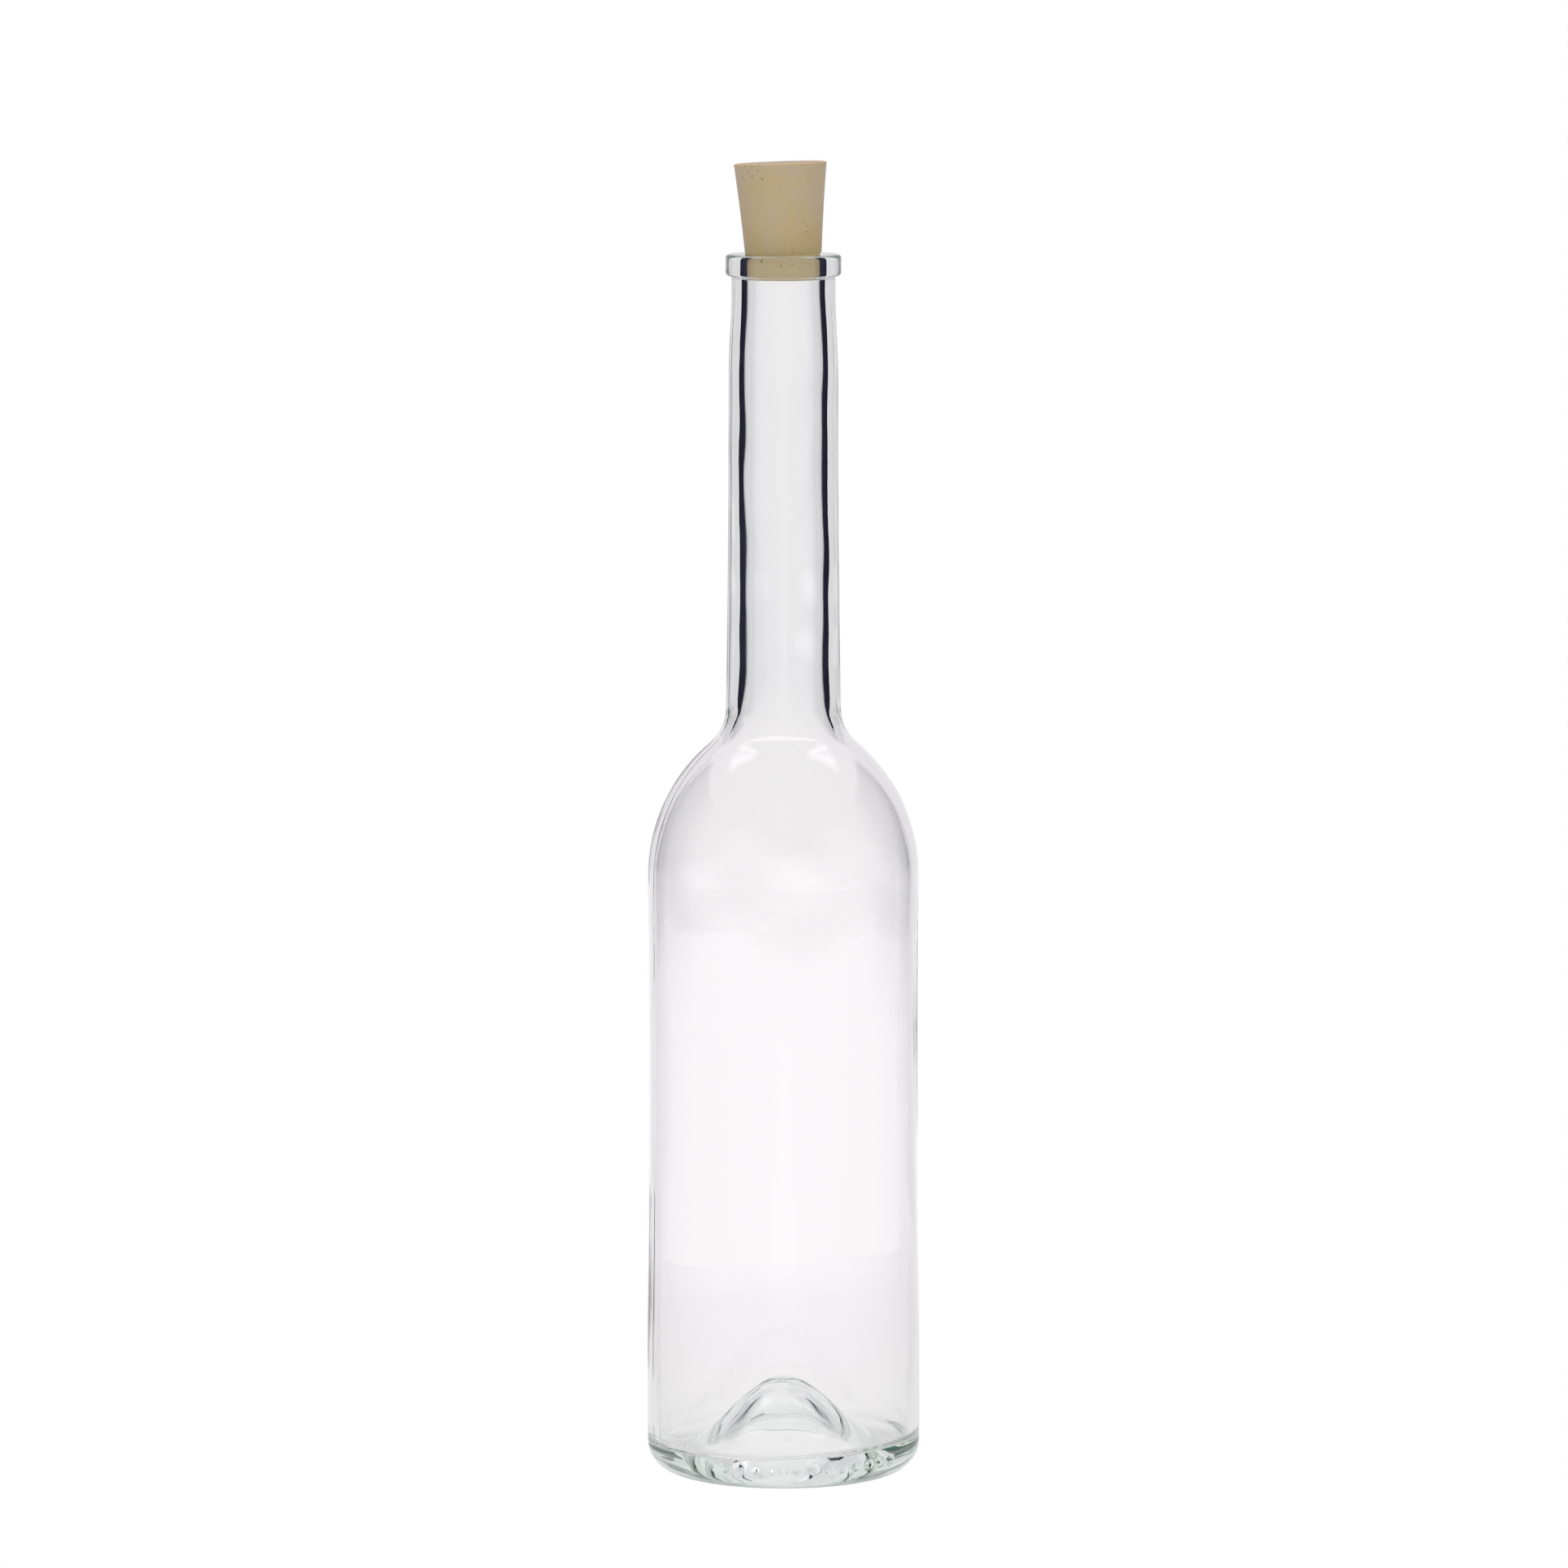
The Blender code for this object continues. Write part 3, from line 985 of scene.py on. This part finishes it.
@dataclass
class CorkStopper:
    """The tapered cork, squeezed by the mouth at its foot and leaning a little left and back."""

    finish: SandedCork = SandedCork()
    seat_height: float = 304.66 * MM
    length: float = 28.0 * MM
    depth: float = 5.0 * MM
    head_radius: float = 11.5 * MM
    rim_radius: float = 9.5 * MM
    squeezed_radius: float = 8.98 * MM
    free_above: float = 0.9 * MM  # the seat, where the mouth no longer holds the side
    held_below: float = 0.3 * MM  # the seat, where the mouth holds it in full
    side_hollow: float = 0.12 * MM
    edge_radius: float = 0.45 * MM
    lean_left: float = math.radians(2.0)
    lean_back: float = math.radians(1.0)
    sides: int = 240
    step: float = 0.25 * MM
    disc_rings: int = 17

    def outline(self) -> Outline:
        """Draw the cork.

        Returns:
            Its outline from the head down to the foot, with the seat at height 0.
        """
        head = self.length - self.depth

        def radius_at(height: np.ndarray) -> np.ndarray:
            """Return the side's radius at heights."""
            share = np.clip((height - self.free_above) / (head - self.free_above), 0, 1)
            free = self.rim_radius + (self.head_radius - self.rim_radius) * share
            free = free - 4 * self.side_hollow * share * (1 - share)
            freed = ease((height + self.held_below) / (self.free_above + self.held_below))
            return self.squeezed_radius + (free - self.squeezed_radius) * freed

        edge = self.edge_radius
        top = arc((self.head_radius - edge, head - edge), edge, 90, 0, self.step / 2)
        side = graph(head - edge, -self.depth + edge, self.step, radius_at)
        foot = arc((self.squeezed_radius - edge, -self.depth + edge), edge, 0, -90, self.step / 2)
        shares = np.linspace(0, 1, self.disc_rings + 1)[:-1]
        crown = np.column_stack([shares * top[0, 0], np.full(self.disc_rings, head)])
        sole = np.column_stack([shares[::-1] * foot[-1, 0],
                                np.full(self.disc_rings, -self.depth)])
        return np.vstack([crown, top, side[1:], foot[1:], sole])

    def build(self) -> bpy.types.Object:
        """Build the cork.

        Returns:
            The cork as an object, placed in the mouth.
        """
        outline = self.outline()
        lean = np.array([-math.sin(self.lean_left), math.sin(self.lean_back)])

        def place(row: int, angle: np.ndarray) -> np.ndarray:
            """Return the points of a row, moved against the lean below the seat to fill the mouth."""
            radius, height = outline[row]
            shift = -lean * min(height, 0.0)
            return np.column_stack([radius * np.cos(angle) + shift[0],
                                    radius * np.sin(angle) + shift[1],
                                    np.full(len(angle), height)])

        skin = TurnedSkin(self.sides)
        mesh = skin.mesh("natural_cork_stopper", outline, np.zeros(len(outline), int), place)
        cork = bpy.data.objects.new("natural_cork_stopper", mesh)
        cork.location = (0, 0, self.seat_height)
        cork.rotation_euler = (-self.lean_back, -self.lean_left, 0)
        bpy.context.scene.collection.objects.link(cork)
        return cork

    def dress(self, cork: bpy.types.Object) -> None:
        """Give the cork its finish and seat it on its body.

        Args:
            cork: the built cork.
        """
        cork.data.materials.append(self.finish.material())
        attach(cork, Body.CORK.value)
        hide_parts(Node.CORK.value)


@dataclass
class Studio:
    """A white table in front of a lit backdrop, a dark flag on each side, a glowing panel of painted
    shade, and two soft boxes.
    """

    # Table: its edges, its shares of light from front to back, and where its light falls off
    table_back: float = 0.272
    table_back_skew: float = 0.05  # growth of the back edge's distance per metre to the right
    table_side: float = 0.6
    table_front: float = 0.6
    table_drop: float = 0.4 * MM
    table_tones: Tones = ((0.0, "#F0EEEF"), (0.35, "#F3F0F2"), (0.8, "#F9F5F8"),
                          (0.95, "#FFFBFE"))
    table_fall_start: float = 0.024
    table_fall_end: float = 0.12
    table_fall: float = 0.17

    # Dark flags beside the backdrop, glowing panels of painted shade for the dark room: bearings of
    # their upright edges, distance and heights
    flag_dark: str = "#0E0B2C"
    flag_pale_glow: str = "#E2DFE2"
    flag_start: float = math.radians(42.4)
    flag_end: float = math.radians(102.0)
    flag_fade: float = math.radians(80.0)
    flag_distance: float = 0.42
    flag_foot: float = 0.06
    flag_foot_fade: float = 0.07
    flag_top: float = 0.44

    # Backdrop and room: tones from the backdrop's middle round to the camera
    room_tones: Tones = ((0.0, "#F2EFF1"), (0.028, "#F1EEF0"), (0.07, "#EDEAED"), (0.1, "#E6E3E6"),
                         (0.15, "#E4E1E4"), (0.23, "#E3E0E3"), (0.5, "#DCDADC"), (1.0, "#E4E2E3"))

    # How much brighter the backdrop is low down, how far round, and its steps: start, end, share
    low_gain: float = 0.14
    low_reach: tuple[float, float] = (math.radians(10.0), math.radians(24.0))
    low_steps: tuple[tuple[float, float, float], ...] = (
        (math.radians(-6.45), math.radians(-7.15), 0.5),
        (math.radians(-7.2), math.radians(-7.55), 0.5))

    # Soft boxes above on each side: bearing, elevation, half their width and its evenly lit share
    box_turn: float = math.radians(66.0)
    box_rise: float = math.radians(60.0)
    box_reach: float = math.radians(11.0)
    box_even: float = 0.7
    box_gain: float = 1.5

    # Camera
    camera_distance: float = 2200.0 * MM
    camera_height: float = 437.0 * MM
    camera_side: float = 0.14 * MM
    camera_tilt: float = math.radians(6.8417)
    camera_range: float = 20.0
    focal_pixels: float = 10960.0
    sensor: float = 36.0  # millimetres, as Blender's camera has it

    def build(self) -> None:
        """Make the table, the flags, the light and the camera."""
        self.table()
        self.flags()
        self.surroundings()
        self.camera()

    @staticmethod
    def sheet(name: str, corners: list[tuple[float, float, float]],
              material: bpy.types.Material) -> bpy.types.Object:
        """Add a flat sheet to the studio.

        Args:
            name: the sheet's name.
            corners: its corners in order.
            material: what it is made of.

        Returns:
            The sheet as an object.
        """
        mesh = bpy.data.meshes.new(name)
        mesh.from_pydata(corners, [], [tuple(range(len(corners)))])
        mesh.materials.append(material)
        sheet = bpy.data.objects.new(name, mesh)
        bpy.context.scene.collection.objects.link(sheet)
        return sheet

    def table(self) -> None:
        """Make the table top at the height where the bottle stands."""
        skew = self.table_side * self.table_back_skew
        corners = [(-self.table_side, -self.table_front), (self.table_side, -self.table_front),
                   (self.table_side, self.table_back + skew),
                   (-self.table_side, self.table_back - skew)]
        table = self.sheet("studio_table", [(x, y, -self.table_drop) for x, y in corners],
                           self.table_glow())

    def table_glow(self) -> bpy.types.Material:
        """Make the table's glow, which to the eye is evenly white; to the glass it is painted light
        that brightens towards the back and fades softly at the sides.

        Returns:
            The acrylic as a node material.
        """
        material, tree = new_tree("white_table_glow")
        light_path = add_node(tree, "ShaderNodeLightPath")
        place = add_node(tree, "ShaderNodeTexCoord")
        axes = add_node(tree, "ShaderNodeSeparateXYZ", {"Vector": place.outputs["Object"]})
        # Painted light: a front-to-back ramp and a fall at the sides make the glow a pool of light
        # round the bottle
        share = add_node(tree, "ShaderNodeMapRange", {
            "Value": axes.outputs["Y"], "From Min": 0.0, "From Max": self.table_back})
        shade = add_node(tree, "ShaderNodeValToRGB", {"Fac": share.outputs["Result"]})
        set_ramp(shade, self.table_tones)
        across = add_node(tree, "ShaderNodeMath", {0: axes.outputs["X"]}, operation="ABSOLUTE")
        fall = add_node(tree, "ShaderNodeMapRange", {
            "Value": across.outputs["Value"], "From Min": self.table_fall_start,
            "From Max": self.table_fall_end, "To Min": 1.0, "To Max": 1.0 - self.table_fall})
        dimmed = add_node(tree, "ShaderNodeVectorMath", {
            0: shade.outputs["Color"], "Scale": fall.outputs["Result"]}, operation="SCALE")
        colour = add_node(tree, "ShaderNodeMix", {
            "Factor": light_path.outputs["Is Camera Ray"], "A": dimmed.outputs["Vector"],
            "B": linear(PLAIN_WHITE)}, data_type="RGBA")
        glow = add_node(tree, "ShaderNodeEmission", {"Color": colour.outputs["Result"]})
        add_node(tree, "ShaderNodeOutputMaterial", {"Surface": glow.outputs["Emission"]})
        return material

    def flags(self) -> None:
        """Hang a dark flag on each side, out of the picture, a glowing panel of painted shade which
        the glass shows as dark lines.
        """
        shade_panel = self.dark_room_panel()
        for side, name in ((-1, "left"), (1, "right")):
            near, far = [(side * self.flag_distance * math.sin(bearing),
                          self.flag_distance * math.cos(bearing))
                         for bearing in (self.flag_start, self.flag_end)]
            flag = self.sheet(f"studio_flag_{name}", [
                (*near, self.flag_foot), (*near, self.flag_top), (*far, self.flag_top),
                (*far, self.flag_foot)], shade_panel)
            flag.visible_camera = False

    def dark_room_panel(self) -> bpy.types.Material:
        """Make a glowing navy panel of painted shade, which to the eye is a sharp-edged dark without
        any gloss.

        It is full along the edge next to the backdrop and fades to a pale glow at the foot and
        behind.

        Returns:
            The felt as a node material.
        """
        material, tree = new_tree("painted_shade_panel")
        place = add_node(tree, "ShaderNodeTexCoord")
        axes = add_node(tree, "ShaderNodeSeparateXYZ", {"Vector": place.outputs["Object"]})
        # Painted shade: a dark glow for the dark room, fading to a pale glow at the foot and behind
        behind = add_node(tree, "ShaderNodeMapRange", {
            "Value": axes.outputs["Y"],
            "From Min": self.flag_distance * math.cos(self.flag_fade),
            "From Max": self.flag_distance * math.cos(self.flag_end)})
        below = add_node(tree, "ShaderNodeMapRange", {
            "Value": axes.outputs["Z"], "From Min": self.flag_foot + self.flag_foot_fade,
            "From Max": self.flag_foot})
        thin = add_node(tree, "ShaderNodeMath", {
            0: behind.outputs["Result"], 1: below.outputs["Result"]}, operation="MAXIMUM")
        colour = add_node(tree, "ShaderNodeMix", {
            "Factor": thin.outputs["Value"], "A": linear(self.flag_dark),
            "B": linear(self.flag_pale_glow)}, data_type="RGBA")
        shade = add_node(tree, "ShaderNodeEmission", {"Color": colour.outputs["Result"]})
        add_node(tree, "ShaderNodeOutputMaterial", {"Surface": shade.outputs["Emission"]})
        return material

    def surroundings(self) -> None:
        """Light the studio all round: the backdrop, the room and the soft boxes."""
        world = bpy.data.worlds.new("studio")
        world.use_nodes = True
        bpy.context.scene.world = world
        tree = world.node_tree
        tree.nodes.clear()
        place = add_node(tree, "ShaderNodeTexCoord")
        axes = add_node(tree, "ShaderNodeSeparateXYZ", {"Vector": place.outputs["Generated"]})
        bearing = add_node(tree, "ShaderNodeMath", {0: axes.outputs["X"], 1: axes.outputs["Y"]},
                           operation="ARCTAN2")
        turn = add_node(tree, "ShaderNodeMath", {0: bearing.outputs["Value"]},
                        operation="ABSOLUTE")
        rise = add_node(tree, "ShaderNodeMath", {0: axes.outputs["Z"]}, operation="ARCSINE")
        level = self.backdrop(tree, turn.outputs["Value"], rise.outputs["Value"])
        boxes = self.soft_boxes(tree, turn.outputs["Value"], rise.outputs["Value"])
        lit = add_node(tree, "ShaderNodeVectorMath", {0: level, "Scale": boxes}, operation="SCALE")
        light_path = add_node(tree, "ShaderNodeLightPath")
        seen = add_node(tree, "ShaderNodeMix", {
            "Factor": light_path.outputs["Is Camera Ray"], "A": lit.outputs["Vector"],
            "B": linear(PLAIN_WHITE)}, data_type="RGBA")
        glow = add_node(tree, "ShaderNodeBackground", {"Color": seen.outputs["Result"]})
        add_node(tree, "ShaderNodeOutputWorld", {"Surface": glow.outputs["Background"]})

    def backdrop(self, tree: bpy.types.NodeTree, turn: bpy.types.NodeSocket,
                 rise: bpy.types.NodeSocket) -> bpy.types.NodeSocket:
        """Return the colour of the backdrop and the room, brightest low down behind the bottle.

        Args:
            tree: the world's tree.
            turn: angle away from the backdrop's middle.
            rise: elevation angle.

        Returns:
            The colour's socket.
        """
        round_share = add_node(tree, "ShaderNodeMath", {0: turn, 1: 1 / math.pi},
                               operation="MULTIPLY")
        level = add_node(tree, "ShaderNodeValToRGB", {"Fac": round_share.outputs["Value"]})
        set_ramp(level, self.room_tones)
        middle = add_node(tree, "ShaderNodeMapRange", {
            "Value": turn, "From Min": self.low_reach[0], "From Max": self.low_reach[1],
            "To Min": self.low_gain, "To Max": 0.0})
        low: bpy.types.NodeSocket | float = 0.0
        for start, end, share in self.low_steps:
            step = add_node(tree, "ShaderNodeMapRange", {
                "Value": rise, "From Min": start, "From Max": end, "To Max": share})
            low = add_node(tree, "ShaderNodeMath", {0: low, 1: step.outputs["Result"]},
                           operation="ADD").outputs["Value"]
        gain = add_node(tree, "ShaderNodeMath", {0: low, 1: middle.outputs["Result"], 2: 1.0},
                        operation="MULTIPLY_ADD")
        shaded = add_node(tree, "ShaderNodeVectorMath", {
            0: level.outputs["Color"], "Scale": gain.outputs["Value"]}, operation="SCALE")
        return shaded.outputs["Vector"]

    def soft_boxes(self, tree: bpy.types.NodeTree, turn: bpy.types.NodeSocket,
                   rise: bpy.types.NodeSocket) -> bpy.types.NodeSocket:
        """Return the gain of the two soft boxes, 1 away from them.

        Args:
            tree: the world's tree.
            turn: angle away from the backdrop's middle.
            rise: elevation angle.

        Returns:
            The gain's socket.
        """
        inside: bpy.types.NodeSocket | float = self.box_gain
        for angle, middle in ((turn, self.box_turn), (rise, self.box_rise)):
            off = add_node(tree, "ShaderNodeMath", {0: angle, 1: middle}, operation="SUBTRACT")
            away = add_node(tree, "ShaderNodeMath", {0: off.outputs["Value"]},
                            operation="ABSOLUTE")
            step = add_node(tree, "ShaderNodeMapRange", {
                "Value": away.outputs["Value"], "From Min": self.box_reach,
                "From Max": self.box_reach * self.box_even})
            inside = add_node(tree, "ShaderNodeMath", {0: inside, 1: step.outputs["Result"]},
                              operation="MULTIPLY").outputs["Value"]
        return add_node(tree, "ShaderNodeMath", {0: inside, 1: 1.0}).outputs["Value"]

    def camera(self) -> None:
        """Place the camera at the photograph's angle, without shift or depth of field."""
        data = bpy.data.cameras.new("studio_camera")
        data.sensor_width = self.sensor
        data.lens = self.focal_pixels / PHOTO_SIDE * self.sensor
        data.clip_end = self.camera_range
        camera = bpy.data.objects.new("studio_camera", data)
        camera.location = (self.camera_side, -self.camera_distance, self.camera_height)
        camera.rotation_euler = (math.pi / 2 - self.camera_tilt, 0, 0)
        bpy.context.scene.collection.objects.link(camera)
        bpy.context.scene.camera = camera


def set_up_view() -> None:
    """Show colours plainly but for deeper darks, and let light run far through the thick base."""
    scene = bpy.context.scene
    view = scene.view_settings
    view.view_transform = "Standard"
    view.look = "None"
    view.use_curve_mapping = True
    tones = view.curve_mapping.curves[3]
    for level, shown in TONE_CURVE:
        tones.points.new(level, shown)
    view.curve_mapping.update()
    scene.cycles.max_bounces = GLASS_BOUNCES
    scene.cycles.transmission_bounces = GLASS_BOUNCES
    scene.cycles.glossy_bounces = GLOSSY_BOUNCES


def main() -> None:
    """Build the bottle, the cork and the studio, and report each piece."""
    logging.basicConfig(level=logging.INFO, format="%(name)s: %(message)s")
    set_up_view()
    for maker in (GlassBottle(), CorkStopper()):
        piece = maker.build()
        maker.dress(piece)
        LOG.info("%s: %d faces", piece.name, len(piece.data.polygons))
    Studio().build()


if __name__ == "__main__":
    main()
